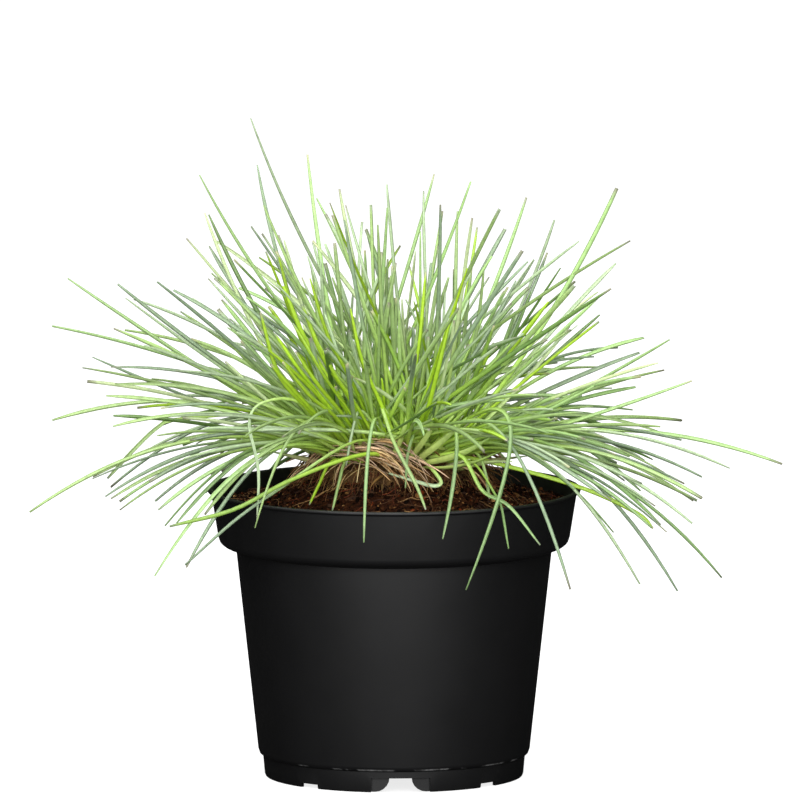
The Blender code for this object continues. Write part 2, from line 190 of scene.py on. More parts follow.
# Leaves with a route of their own, most of them over the front, as colour, width and the points they
# pass: across, depth and height.
ROUTED_LEAVES = [
    # A hook before the crown, a small loop on its left and a leaf that falls in an S over the left rim.
    (
        "grey", 1.7,
        [(12, -30, 149), (17, -40, 145), (21, -47, 140), (18, -49, 138.5), (10, -48, 140.5), (-2, -46, 144)],
    ),
    ("grey", 1.5, [(-6, -24, 152), (-10, -38, 166), (-16, -46, 172), (-20, -50, 160), (-22, -52, 148)]),
    (
        "grey", 1.6,
        [
            (-18, -24, 152), (-42, -46, 176), (-59, -60, 178), (-65, -68, 170), (-61, -78, 150),
            (-62, -86, 128),
        ],
    ),
    # Long leaves that cross low from one side to the other.
    ("grey", 1.8, [(24, -26, 152), (-10, -44, 162), (-50, -46, 164), (-92, -38, 162)]),
    ("grey", 1.8, [(-24, -24, 152), (16, -42, 164), (50, -48, 160), (82, -50, 153), (112, -52, 140)]),
    ("slate", 1.7, [(-8, -28, 152), (30, -46, 164), (62, -58, 156), (98, -64, 134)]),
    (
        "green", 1.7,
        [(-18, 6, 148), (-62, 6, 163), (-98, 2, 162), (-107, 0, 159), (-118, -2, 149), (-130, -4, 136)],
    ),
    ("sap", 1.9, [(6, -18, 146), (-14, -50, 153), (-46, -76, 145), (-72, -88, 133), (-101, -92, 126)]),
    ("slate", 1.7, [(-2, -18, 150), (-18, -50, 159), (-52, -78, 141), (-72, -88, 128), (-94, -88, 108)]),
    # Leaves that hang before the growing medium and over the rim.
    ("shaded_green", 1.7, [(14, -20, 152), (26, -42, 166), (28, -56, 160), (26, -76, 143), (22, -96, 121)]),
    ("green", 1.6, [(-14, -18, 156), (-8, -38, 177), (0, -50, 158), (9, -66, 142), (14, -86, 133)]),
    ("fresh", 1.5, [(12, -24, 150), (11, -42, 165), (6, -48, 153), (5, -52, 138)]),
    ("shaded_green", 1.6, [(14, -28, 148), (30, -44, 152), (40, -62, 138), (52, -84, 134), (66, -94, 118)]),
    ("shaded_green", 1.5, [(24, -26, 146), (36, -44, 148), (46, -64, 136), (49, -80, 133), (52, -92, 116)]),
    ("green", 1.4, [(26, -24, 148), (37, -38, 152), (42, -50, 143), (43, -58, 134)]),
    ("green", 1.7, [(-12, -28, 146), (-21, -44, 150), (-25, -56, 141), (-28, -68, 130)]),
    ("lime", 1.8, [(-16, -28, 146), (-28, -44, 149), (-34, -54, 140), (-38, -62, 132)]),
    # The lime-green heart of the left side and single lime leaves on the right.
    ("lime", 2.0, [(-12, -26, 154), (-24, -34, 176), (-40, -38, 204), (-50, -36, 228)]),
    ("lime", 1.9, [(-16, -26, 152), (-28, -40, 172), (-42, -48, 190), (-54, -50, 208)]),
    ("lime", 1.8, [(-8, -26, 156), (-18, -36, 182), (-30, -40, 206), (-38, -40, 232)]),
    ("lime", 1.8, [(-18, -24, 154), (-32, -42, 176), (-46, -54, 192), (-62, -58, 206)]),
    ("lime", 1.7, [(-10, -28, 152), (-20, -46, 172), (-32, -56, 190), (-46, -60, 214)]),
    ("lime", 1.7, [(-14, -20, 156), (-30, -30, 184), (-44, -30, 212), (-52, -28, 240)]),
    ("lime", 1.8, [(2, -28, 154), (-6, -44, 176), (-14, -52, 196), (-20, -54, 220)]),
    ("lime", 2.1, [(-20, -22, 152), (-34, -48, 170), (-44, -58, 182), (-56, -64, 196)]),
    ("lime", 2.0, [(-12, -24, 152), (-24, -50, 172), (-34, -62, 186), (-44, -66, 202)]),
    ("lime", 2.0, [(-6, -26, 152), (-16, -50, 174), (-26, -60, 190), (-36, -62, 208)]),
    ("lime", 1.9, [(-22, -20, 152), (-38, -44, 172), (-52, -52, 190), (-60, -52, 218)]),
    ("lime", 2.1, [(-16, -22, 152), (-26, -52, 170), (-38, -66, 182), (-50, -72, 198)]),
    ("lime", 2.0, [(-10, -22, 154), (-20, -46, 178), (-32, -54, 198), (-42, -54, 222)]),
    ("lime", 2.0, [(10, -28, 152), (15, -46, 172), (20, -54, 192), (26, -56, 216)]),
    ("lime", 1.8, [(4, -28, 156), (8, -44, 182), (12, -50, 206), (14, -48, 236)]),
    ("lime", 1.8, [(16, -22, 150), (44, -32, 147), (84, -50, 138), (109, -60, 128), (117, -62, 121)]),
    ("sap", 1.7, [(20, -20, 152), (38, -34, 163), (56, -38, 168), (72, -38, 167)]),
]

# Broad pale sheaths that fan out at the crown's front, as width and the points they pass.
SHEATH_RINGS = 12
SHEATH_COLOUR = (180, 194, 106)
SHEATH_TIP_COLOUR = (142, 176, 84)
SHEATHS = [
    (4.2, [(14, -34, 147), (24, -40, 150), (34, -42, 154), (44, -42, 160)]),
    (3.8, [(12, -35, 145), (25, -42, 146), (37, -45, 149), (48, -46, 154)]),
    (4.0, [(10, -34, 148), (17, -40, 154), (25, -42, 161), (33, -42, 169)]),
    (3.5, [(7, -34, 149), (12, -40, 156), (17, -42, 164), (22, -41, 174)]),
    (3.1, [(-2, -34, 149), (2, -40, 156), (5, -42, 165), (7, -41, 176)]),
    (2.9, [(-17, -33, 149), (-19, -39, 156), (-20, -41, 164), (-21, -40, 174)]),
]

# Leaves that fill each tuft, by ring: how many, the arch's range, the turn away from the tuft in degrees
# and the shortest as a share of the tuft's length.
FILLERS = {
    "low": (6, (18, 34), 22, 0.50),
    "side": (9, (6, 28), 26, 0.40),
    "upper": (13, (-8, 18), 28, 0.38),
    "top": (13, (-12, 12), 36, 0.32),
}
LONGEST_FILLER = {"low": 0.88, "side": 0.86, "upper": 0.90, "top": 0.75}
FILLER_COLOURS = {
    "low": ["grey", "shaded_green", "green", "shaded_green", "green", "grey", "slate", "shaded_green", "slate", "deep", "fresh"],
    "side": ["grey", "grey", "green", "green", "green", "fresh", "grey", "pale", "slate", "deep", "lime"],
    "upper": ["grey", "grey", "green", "green", "sap", "fresh", "fresh", "pale", "slate", "deep", "lime"],
    "top": ["grey", "grey", "green", "green", "green", "fresh", "grey", "pale", "slate", "deep", "green"],
}
# The standard deviations of that turn, aside and upwards, as shares of it.
TURN_ASIDE = 0.62
TURN_UP = 0.42
# Some fillers arch more than their ring's range, by so many degrees.
BOWED_SHARE = 0.14
BOWED_ARCH = (12, 28)
FILLER_WIDTHS = (1.35, 2.1)
CUT_SHARE = 0.35

# A tuft also has a leaf to its CAD tip, unless an outline leaf ends within this distance of it.
LEADER_SPACING = 20.0
LEADER_WIDTH = 1.8
LEADER_COLOURS = ["grey", "green", "fresh"]

# Short shoots stand at the feet of the tufts behind this depth.
SHOOT_DEPTH = -20.0
SHOOTS = 3
SHOOT_RINGS = 9

# Fillers stay out of a window before the crown, where the growing medium shows, and out of one on each
# side of it, where the inside of the rim shows: the front one's half width, the depth it starts at and
# its top, then how far across the side ones reach, and their depth and top.
WINDOW_HALF_WIDTH = 52.0
WINDOW_DEPTH = -36.0
WINDOW_TOP = 158.0
SIDE_WINDOW_REACH = 80.0
SIDE_WINDOW_DEPTH = 25.0
SIDE_WINDOW_TOP = 147.0

# The lowest that leaves leave the crown, in degrees up its dome, and the same for those whose tips are
# in front, by depth and reach across, because the thatch is bare there.
FOOT_HEIGHT = 26.0
FRONT_FOOT_HEIGHT = 36.0
FRONT_TIP_DEPTH = -30.0
FRONT_TIP_REACH = 95.0

# Dead leaves and sheaths of the thatch.
SHEAF_STRAWS = 58
THATCH_STRAWS = 170
THATCH_FIBRES = 900

# The loose top of the growing medium: how far it lies above and reaches below the profile, then what is
# scattered on it, from which distance from the axis to which.
SKIN_LIFT = 0.25
SKIN_DEPTH = 3.0
CRUMBS = 7600
CRUMB_RADII = (32.0, 79.0)
SMALL_CRUMB_SHARE = 0.84
DARK_CRUMB_SHARE = 0.84
SOIL_FIBRES = 520
FIBRE_RADII = (30.0, 76.0)
FIBRE_REACH = 78.5
FIBRE_TAPER = [1.0, 1.0, 1.0, 0.9, 0.7, 0.3]


def place(radius, azimuth_deg, height):
    """A point in mm from a distance to the axis, an azimuth and a height."""
    angle = math.radians(azimuth_deg)
    return Vector((radius * math.cos(angle), radius * math.sin(angle), height))


def linear(colour):
    """An sRGB colour in bytes as linear light."""
    values = [c / 255 for c in colour]
    return Vector([v / 12.92 if v < 0.04045 else ((v + 0.055) / 1.055) ** 2.4 for v in values])


def shares(count):
    """Evenly spaced values from 0 to 1."""
    return [i / (count - 1) for i in range(count)]


def soil_height(radius):
    """The growing medium's height at a distance from the axis."""
    for (r0, z0), (r1, z1) in zip(SOIL_PROFILE, SOIL_PROFILE[1:]):
        if radius <= r1:
            return z0 + (z1 - z0) * (radius - r0) / (r1 - r0)
    return SOIL_PROFILE[-1][1]


def soil_lump(point):
    """How far the loose top rises above or falls below the profile, in broad lumps."""
    return noise.noise(Vector((point.x, point.y, 0.0)) * 0.33) * 0.8


def crown_point(azimuth_deg, height_deg, share=1.0):
    """A point on the crown's dome, or inside it at a share of its size."""
    angle = math.radians(height_deg)
    radius = CROWN_RADIUS * share * math.cos(angle)
    return place(radius, azimuth_deg, CROWN_FOOT + CROWN_HEIGHT * share * math.sin(angle))


def bezier(start, control, end, count):
    return [start * (1 - t) ** 2 + control * (2 * t * (1 - t)) + end * t**2 for t in shares(count)]


def smooth_route(points, count):
    """A Catmull-Rom curve through the points, sampled evenly in its parameter."""
    ends = [points[0] * 2 - points[1], *points, points[-1] * 2 - points[-2]]
    spans = len(points) - 1
    route = []
    for share in shares(count):
        position = min(share * spans, spans - 1e-6)
        k = int(position)
        t = position - k
        a, b, c, d = ends[k : k + 4]
        route.append(
            (b * 2 + (c - a) * t + (a * 2 - b * 5 + c * 4 - d) * t**2 + (b * 3 - a - c * 3 + d) * t**3) / 2
        )
    return route


def turned_up(direction, degrees):
    """The direction turned towards +Z in its upright plane."""
    side = direction.cross(Vector((0, 0, 1)))
    if side.length < 1e-4:
        return direction
    return Matrix.Rotation(math.radians(degrees), 3, side.normalized()) @ direction


def arched(start, tip, arch_deg, count):
    """A curve that sets out arch_deg steeper than the straight line to the tip."""
    chord = tip - start
    control = start + turned_up(chord, arch_deg) * 0.5
    return bezier(start, control, tip, count)


def clears_pot(points):
    """Whether a leaf passes over the rim and stays off the growing medium."""
    for point in points[POINTS_IN_CROWN:]:
        radius = math.hypot(point.x, point.y)
        if radius < RIM_RADIUS - RIM_ROLL:
            floor = soil_height(radius) + SOIL_CLEARANCE
        elif radius < RIM_RADIUS + RIM_CLEARANCE:
            floor = RIM_TOP + RIM_CLEARANCE
        else:
            continue
        if point.z < floor:
            return False
    return True


def leaf_route(start, tip, arch_deg):
    """The arched curve, with more arch until it clears the pot or is at its steepest."""
    points = arched(start, tip, arch_deg, LEAF_RINGS)
    while not clears_pot(points) and arch_deg < STEEPEST_ARCH:
        arch_deg += 2
        points = arched(start, tip, arch_deg, LEAF_RINGS)
    return points


class StrandMesh:
    """Closed strips of one cross-section, joined as one mesh, with colour and position attributes."""

    def __init__(self, section=LEAF_SECTION, folds=LEAF_FOLD):
        self.section = section
        self.folds = folds
        self.points = []
        self.tints = []
        self.fold_values = []
        self.along = []
        self.faces = []
        self.face_uvs = []
        self.strips = 0

    def add(self, route, widths, colours, roll_deg=0.0, twist_deg=0.0, flatten=1.0):
        """A strip along route (mm), with a width and a colour at each of its points."""
        first = len(self.points)
        count = len(self.section)
        rings = len(route)
        upper = None
        for i, point in enumerate(route):
            tangent = (route[min(i + 1, rings - 1)] - route[max(i - 1, 0)]).normalized()
            if upper is None:
                upper = Vector((0, 0, 1)) if abs(tangent.z) < 0.95 else Vector((-point.x, -point.y, 0.01))
            upper = (upper - tangent * upper.dot(tangent)).normalized()
            share = i / (rings - 1)
            turn = Matrix.Rotation(math.radians(roll_deg + twist_deg * share), 3, tangent)
            up = turn @ upper
            across = up.cross(tangent)
            for (x, y), fold in zip(self.section, self.folds):
                self.points.append((point + across * (x * widths[i]) + up * (y * widths[i] * flatten)) * MM)
                self.tints.append(colours[i])
                self.fold_values.append(fold)
                self.along.append(share)
        for i in range(rings - 1):
            for k in range(count):
                a = first + i * count + k
                b = first + i * count + (k + 1) % count
                self.faces.append((a, b, b + count, a + count))
                low, high = [UV_CAP + (1 - 2 * UV_CAP) * ring / (rings - 1) for ring in (i, i + 1)]
                left, right = k / count, (k + 1) / count
                self.face_uvs.append((self.strips, [(left, low), (right, low), (right, high), (left, high)]))
        last = first + (rings - 1) * count
        cap = [(x + 0.5, y * UV_CAP) for x, y in self.section]
        self.faces.append(tuple(first + k for k in reversed(range(count))))
        self.face_uvs.append((self.strips, [(x, UV_FOOT_CAP + y) for x, y in reversed(cap)]))
        self.faces.append(tuple(last + k for k in range(count)))
        self.face_uvs.append((self.strips, [(x, UV_TIP_CAP + y) for x, y in cap]))
        self.strips += 1

    def build(self, name, material):
        """The mesh object, with each strip's UVs in a cell of its own."""
        mesh = new_mesh(name, self.points, self.faces)
        write_attributes(mesh, self.tints, self.fold_values, self.along)
        uv_layer = mesh.uv_layers.new(name="OFBake")
        columns = min(self.strips, UV_COLUMNS)
        rows = math.ceil(self.strips / columns)
        corner = 0
        for strip, corners in self.face_uvs:
            row, column = divmod(strip, columns)
            for u, v in corners:
                inset = UV_MARGIN + u * (1 - 2 * UV_MARGIN)
                uv_layer.data[corner].uv = ((column + inset) / columns, (row + v) / rows)
                corner += 1
        return finish_piece(name, mesh, material)


def new_mesh(name, points, faces):
    mesh = bpy.data.meshes.new(name)
    mesh.from_pydata(points, [], faces)
    return mesh


def write_attributes(mesh, tints, folds, along):
    tint = mesh.attributes.new("tint", "FLOAT_COLOR", "POINT")
    tint.data.foreach_set("color", [c for t in tints for c in (*t, 1.0)])
    mesh.attributes.new("fold", "FLOAT", "POINT").data.foreach_set("value", folds)
    mesh.attributes.new("along", "FLOAT", "POINT").data.foreach_set("value", along)


def finish_piece(name, mesh, material):
    mesh.shade_smooth()
    mesh.materials.append(material)
    obj = bpy.data.objects.new(name, mesh)
    bpy.context.scene.collection.objects.link(obj)
    return obj


# Materials


def feed(socket, value):
    """Links the value to an input if it is another node's output, and sets it if it isn't."""
    if isinstance(value, bpy.types.NodeSocket):
        socket.id_data.links.new(value, socket)
    else:
        socket.default_value = value


class Nodes:
    """A material's node tree, with short calls to add nodes and link them."""

    def __init__(self, name):
        self.material = bpy.data.materials.new(name)
        self.material.use_nodes = True
        self.tree = self.material.node_tree
        self.shader = self.tree.nodes["Principled BSDF"]

    def add(self, kind, values=None, **settings):
        """A node of this kind, with its settings and its input values, by name or number."""
        node = self.tree.nodes.new(kind)
        for key, value in settings.items():
            setattr(node, key, value)
        for key, value in (values or {}).items():
            feed(node.inputs[key], value)
        return node

    def attribute(self, name, output="Fac"):
        return self.add("ShaderNodeAttribute", attribute_name=name).outputs[output]

    def position(self):
        return self.add("ShaderNodeTexCoord").outputs["Object"]

    def noise(self, scale, detail=3.0, roughness=0.55, vector=None):
        node = self.add("ShaderNodeTexNoise", {"Scale": scale, "Detail": detail, "Roughness": roughness})
        feed(node.inputs["Vector"], vector or self.position())
        return node.outputs["Fac"]

    def stretched(self, x, y, z):
        """Object coordinates, scaled on each axis."""
        values = {"Vector": self.position(), "Scale": (x, y, z)}
        return self.add("ShaderNodeMapping", values).outputs["Vector"]

    def ramp(self, value, *stops):
        """A colour ramp with stops of (position, grey level or linear colour)."""
        node = self.add("ShaderNodeValToRGB", {"Fac": value})
        elements = node.color_ramp.elements
        while len(elements) < len(stops):
            elements.new(0.5)
        for element, (position, colour) in zip(elements, stops):
            element.position = position
            level = (colour,) * 3 if isinstance(colour, (int, float)) else tuple(colour)
            element.color = (*level, 1.0)
        return node.outputs["Color"]

    def mix(self, blend, factor, a, b):
        node = self.add("ShaderNodeMix", data_type="RGBA", blend_type=blend)
        for socket, value in ((node.inputs[0], factor), (node.inputs[6], a), (node.inputs[7], b)):
            feed(socket, (*value, 1.0) if isinstance(value, (tuple, Vector)) else value)
        return node.outputs[2]

    def math(self, operation, a, b=0.0):
        return self.add("ShaderNodeMath", {0: a, 1: b}, operation=operation).outputs[0]

    def range(self, value, low, high):
        """The value from 0 to 1, spread from low to high."""
        return self.add("ShaderNodeMapRange", {"Value": value, "To Min": low, "To Max": high}).outputs[0]

    def bump(self, height, strength, distance, normal=None):
        node = self.add("ShaderNodeBump", {"Height": height, "Strength": strength, "Distance": distance})
        if normal is not None:
            feed(node.inputs["Normal"], normal)
        return node.outputs["Normal"]

    def set(self, **values):
        """Values or links on the Principled shader. Underscores stand for spaces."""
        for key, value in values.items():
            feed(self.shader.inputs[key.replace("_", " ")], value)
        return self.material


def leaf_material():
    """Waxy leaf: paler bloom in the channel, darker edges, fine veins along the blade."""
    nodes = Nodes("fescue_leaf")
    fold = nodes.attribute("fold")
    tint = nodes.attribute("tint", "Color")
    stripe = nodes.ramp(fold, (0.0, 0.94), (0.22, 1.0), (0.5, 0.62), (0.7, 0.92), (1.0, 1.12))
    colour = nodes.mix("MULTIPLY", 1.0, tint, stripe)
    bloom = nodes.math("MULTIPLY", nodes.ramp(fold, (0.55, 0.0), (0.95, 1.0)), 0.16)
    colour = nodes.mix("MIX", bloom, colour, (0.62, 0.74, 0.50))
    patches = nodes.ramp(nodes.noise(420.0, 4.0), (0.30, 0.80), (0.52, 1.0), (0.74, 1.14))
    colour = nodes.mix("MULTIPLY", 0.9, colour, patches)
    veins = nodes.math("SINE", nodes.math("MULTIPLY", fold, 62.0))
    grain = nodes.noise(2600.0, 2.0)
    height = nodes.math("ADD", veins, nodes.math("MULTIPLY", grain, 1.4))
    roughness = nodes.range(nodes.noise(900.0, 3.0), 0.42, 0.64)
    return nodes.set(
        Base_Color=colour, Roughness=roughness, Specular_IOR_Level=0.42,
        Normal=nodes.bump(height, 0.35, 0.00005),
    )


def straw_material():
    """Dead leaves and sheaths: dry, matt, streaked along their length."""
    nodes = Nodes("dry_sheath")
    tint = nodes.attribute("tint", "Color")
    streaks = nodes.ramp(nodes.noise(1500.0, 4.0, 0.65), (0.28, 0.55), (0.50, 0.96), (0.75, 1.22))
    colour = nodes.mix("MULTIPLY", 1.0, tint, streaks)
    edge = nodes.ramp(nodes.attribute("fold"), (0.0, 1.0), (0.5, 0.72), (1.0, 1.08))
    colour = nodes.mix("MULTIPLY", 0.8, colour, edge)
    height = nodes.noise(3200.0, 3.0)
    roughness = nodes.range(nodes.noise(1200.0, 2.0), 0.6, 0.9)
    return nodes.set(
        Base_Color=colour, Roughness=roughness, Specular_IOR_Level=0.25,
        Normal=nodes.bump(height, 0.5, 0.0001),
    )


def crown_material():
    """Packed dark brown sheath bases under the thatch."""
    nodes = Nodes("crown_mass")
    strands = nodes.noise(260.0, 6.0, 0.7, nodes.stretched(1.0, 1.0, 0.22))
    stops = [
        (0.25, linear((30, 17, 8))), (0.42, linear((62, 41, 20))), (0.60, linear((104, 76, 42))),
        (0.78, linear((158, 128, 82))),
    ]
    colour = nodes.ramp(strands, *stops)
    height = nodes.math("ADD", strands, nodes.math("MULTIPLY", nodes.noise(1400.0, 3.0), 0.4))
    roughness = nodes.range(nodes.noise(700.0, 2.0), 0.7, 0.95)
    return nodes.set(
        Base_Color=colour, Roughness=roughness, Specular_IOR_Level=0.2,
        Normal=nodes.bump(height, 0.9, 0.0012),
    )


def soil_material():
    """Moist coir and peat: crumbs in several browns, with fine grain."""
    nodes = Nodes("coir_mix")
    tint = nodes.attribute("tint", "Color")
    grain = nodes.ramp(nodes.noise(1900.0, 5.0, 0.7), (0.30, 0.42), (0.50, 0.95), (0.72, 1.55))
    colour = nodes.mix("MULTIPLY", 1.0, tint, grain)
    damp = nodes.ramp(nodes.noise(60.0, 3.0), (0.35, 0.7), (0.65, 1.15))
    colour = nodes.mix("MULTIPLY", 0.8, colour, damp)
    roughness = nodes.range(nodes.noise(1300.0, 3.0), 0.5, 0.95)
    return nodes.set(
        Base_Color=colour, Roughness=roughness, Specular_IOR_Level=0.05,
        Normal=nodes.bump(grain, 0.8, 0.0004),
    )


def plug_material():
    """The growing medium below its loose surface."""
    nodes = Nodes("coir_plug")
    lumps = nodes.noise(420.0, 6.0, 0.7)
    stops = [(0.3, linear((24, 12, 6))), (0.5, linear((46, 26, 15))), (0.7, linear((84, 56, 34)))]
    colour = nodes.ramp(lumps, *stops)
    roughness = nodes.range(nodes.noise(900.0, 2.0), 0.75, 0.98)
    return nodes.set(
        Base_Color=colour, Roughness=roughness, Specular_IOR_Level=0.2,
        Normal=nodes.bump(lumps, 0.8, 0.001),
    )


def pot_material():
    """Black recycled plastic: satin, with a fine moulded grain, faint flow marks, light scuffs and a painted
    highlight along the ledge.
    """
    nodes = Nodes("pot_plastic")
    flow = nodes.noise(16.0, 5.0, 0.6, nodes.stretched(1.0, 1.0, 0.25))
    colour = nodes.ramp(flow, (0.3, linear((8, 8, 9))), (0.7, linear((13, 13, 14))))
    scuffs = nodes.noise(420.0, 6.0, 0.75, nodes.stretched(0.18, 0.18, 1.0))
    scuff_mask = nodes.ramp(scuffs, (0.66, 0.0), (0.78, 1.0))
    colour = nodes.mix("MIX", nodes.math("MULTIPLY", scuff_mask, 0.16), colour, linear((58, 58, 60)))
    # Painted highlight: a thin light line along the ledge, broken up by noise, where the step's edge would
    # catch the light.
    height = nodes.add("ShaderNodeSeparateXYZ", {"Vector": nodes.position()}).outputs["Z"]
    off_ledge = nodes.math("ABSOLUTE", nodes.math("SUBTRACT", height, LEDGE_HEIGHT * MM))
    ledge = nodes.ramp(nodes.math("MULTIPLY", off_ledge, 1000.0), (0.2, 1.0), (0.5, 0.0))
    highlight_breaks = nodes.ramp(nodes.noise(90.0, 4.0, 0.7, nodes.stretched(1.0, 1.0, 0.1)), (0.48, 0.0), (0.62, 1.0))
    painted_ledge_highlight = nodes.math("MULTIPLY", nodes.math("MULTIPLY", ledge, highlight_breaks), 0.8)
    colour = nodes.mix("MIX", painted_ledge_highlight, colour, linear((120, 120, 120)))
    grain = nodes.noise(3800.0, 2.0)
    soft = nodes.range(nodes.noise(38.0, 4.0), 0.46, 0.58)
    roughness = nodes.math("ADD", soft, nodes.math("MULTIPLY", scuff_mask, 0.12))
    wavy = nodes.bump(nodes.noise(22.0, 3.0), 0.25, 0.0006)
    return nodes.set(
        Base_Color=colour, Roughness=roughness, Specular_IOR_Level=0.5,
        Normal=nodes.bump(grain, 0.22, 0.00006, wavy),
    )


# Leaves


def strand_ends(node):
    """The foot and the tip of a CAD strand in mm: its points nearest to the crown's middle and farthest."""
    middle = Vector((0.0, 0.0, CROWN_FOOT))
    points = [v.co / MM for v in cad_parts[node].data.vertices]
    distances = [(p - middle).length for p in points]
    return points[distances.index(min(distances))], points[distances.index(max(distances))]


def leaf_widths(width, cut, rng):
    """Widest just above the sheath, then even, then tapered close to the tip, or cut blunt."""
    widths = []
    width *= WIDTH_SCALE
    taper_from = rng.uniform(0.70, 0.92)
    end_share = 0.76 if cut else rng.uniform(0.34, 0.58)
    for t in shares(LEAF_RINGS):
        share = 1.28 - 0.28 * min(1.0, t / 0.16)
        if t > taper_from:
            left = (1.0 - t) / (1.0 - taper_from)
            share *= end_share + (1.0 - end_share) * left**0.7
        widths.append(width * share)
    return widths


def leaf_colours(name, cut, rng):
    """Pale at its sheath, yellow-green inside the clump and brightened there as painted light against the
    clump's shade, its own colour outside, often a withered tip.
    """
    shade = rng.uniform(0.82, 1.14)
    body = linear(LEAF_COLOURS[name]) * shade
    inner = linear(INNER_COLOUR) * shade
    foot = linear(SHOOT_COLOUR) * rng.uniform(0.75, 1.0)
    tip = linear(rng.choice(LEAF_TIP_COLOURS))
    withered = rng.uniform(0.008, 0.022) if cut or rng.random() < 0.45 else 0.0
    foot_share = rng.uniform(0.10, 0.22)
    colours = []
    for t in shares(LEAF_RINGS):
        colour = inner.lerp(body, min(1.0, t / 0.6))
        if t < foot_share:
            colour = foot.lerp(colour, t / foot_share)
        if withered and t > 1.0 - withered * 2:
            colour = colour.lerp(tip, min(1.0, (t - 1.0 + withered * 2) / withered))
        colours.append(colour)
    return colours


def add_leaf(strands, route, width, colour, rng, cut=False):
    """A leaf along route, slightly waved from side to side, rolled and twisted."""
    wave = rng.uniform(0.2, 0.9)
    phase = rng.uniform(0, math.tau)
    side = (route[-1] - route[0]).cross(Vector((0, 0, 1)))
    side = side.normalized() if side.length > 1e-3 else Vector((1, 0, 0))
    waved = []
    for point, t in zip(route, shares(len(route))):
        waved.append(point + side * (wave * math.sin(t * 5.0 + phase) * t))
    strands.add(
        waved, leaf_widths(width, cut, rng), leaf_colours(colour, cut, rng),
        roll_deg=rng.gauss(0, 38), twist_deg=rng.uniform(-60, 60),
    )


def leaf_foot(tip, rng):
    """Where a leaf leaves the crown: on its tip's side, but spread, and anywhere for a steep leaf."""
    out = math.hypot(tip.x, tip.y)
    rise = math.degrees(math.atan2(tip.z - CROWN_FOOT, out))
    azimuth = math.degrees(math.atan2(tip.y, tip.x)) + rng.gauss(0, 18 + rise * 0.9)
    in_front = tip.y < FRONT_TIP_DEPTH and abs(tip.x) < FRONT_TIP_REACH
    lowest = FRONT_FOOT_HEIGHT if in_front else FOOT_HEIGHT
    height = max(lowest + rng.uniform(0, 12), min(84.0, rise * 0.72 + rng.uniform(-18, 14)))
    return crown_point(azimuth, height, rng.uniform(0.80, 0.96))


def add_shoots(strands, foot, tip, rng):
    """Short pale shoots at a tuft's foot, out of whose sheaths its leaves come."""
    direction = (tip - foot).normalized()
    for _ in range(SHOOTS):
        start = foot * 0.96 + Vector((rng.gauss(0, 4.0), rng.gauss(0, 4.0), rng.uniform(-5.0, -1.0)))
        lean = Vector((rng.gauss(0, 0.16), rng.gauss(0, 0.16), rng.gauss(0.06, 0.1)))
        end = start + (direction + lean).normalized() * rng.uniform(18, 34)
        route = arched(start, end, rng.uniform(-4, 8), SHOOT_RINGS)
        if end.z < CROWN_FOOT + 8.0:
            continue
        width = rng.uniform(2.2, 3.4)
        widths = [width * (1.0 - 0.84 * t**1.3) for t in shares(SHOOT_RINGS)]
        foot_colour = linear(rng.choice(STRAW_COLOURS[:2] + [SHOOT_COLOUR] * 2))
        end_colour = linear(LEAF_COLOURS[rng.choice(["pale", "fresh", "green"])])
        colours = [foot_colour.lerp(end_colour, t) for t in shares(SHOOT_RINGS)]
        strands.add(route, widths, colours, roll_deg=rng.gauss(0, 50), flatten=1.5)


def bearing(point):
    """The direction from the crown's middle, for matching leaves to tufts."""
    return (point - Vector((0.0, 0.0, CROWN_FOOT + 6.0))).normalized()


def outline_by_tuft(tips):
    """The outline leaves of each tuft: a leaf belongs to the tuft whose tip has the nearest bearing."""
    groups = {node: [] for node in tips}
    for across, seen_height, depth, colour, arch, width in OUTLINE_LEAVES:
        tip = Vector((across, depth, seen_height - EYE_TILT * depth))
        nearest = max(tips, key=lambda node: bearing(tips[node]).dot(bearing(tip)))
        groups[nearest].append((tip, colour, arch, width))
    return groups


def crosses_front(route):
    """Whether a leaf would hide the growing medium before the crown."""
    return any(p.y < WINDOW_DEPTH and p.z < WINDOW_TOP and abs(p.x) < WINDOW_HALF_WIDTH for p in route)


def crosses_side(route):
    """Whether a leaf would hide the inside of the rim beside the crown."""
    low = [p for p in route if p.y < SIDE_WINDOW_DEPTH and p.z < SIDE_WINDOW_TOP]
    return any(WINDOW_HALF_WIDTH < abs(p.x) < SIDE_WINDOW_REACH for p in low)


def over_side_window(start, tip, arch_deg):
    """The leaf's route, with up to 24 degrees more arch until it shows the inside of the rim."""
    for extra in range(0, 25, 4):
        route = leaf_route(start, tip, arch_deg + extra)
        if not crosses_side(route):
            break
    return route


def add_fillers(strands, ring, foot, tip, rng):
    """A tuft's seeded leaves, spread about the line from its foot to its tip."""
    count, arch_range, turn, shortest = FILLERS[ring]
    for _ in range(count):
        direction = tip - foot
        aside = Matrix.Rotation(math.radians(rng.gauss(0, turn * TURN_ASIDE)), 3, "Z")
        length = rng.uniform(shortest, LONGEST_FILLER[ring])
        end = foot + turned_up(aside @ direction, rng.gauss(0, turn * TURN_UP)) * length
        arch = rng.uniform(*arch_range)
        if rng.random() < BOWED_SHARE:
            arch += rng.uniform(*BOWED_ARCH)
        route = leaf_route(leaf_foot(end, rng), end, arch)
        if crosses_front(route) or crosses_side(route):
            continue
        width = rng.uniform(*FILLER_WIDTHS)
        colour = rng.choice(FILLER_COLOURS[ring])
        add_leaf(strands, route, width, colour, rng, cut=rng.random() < CUT_SHARE)


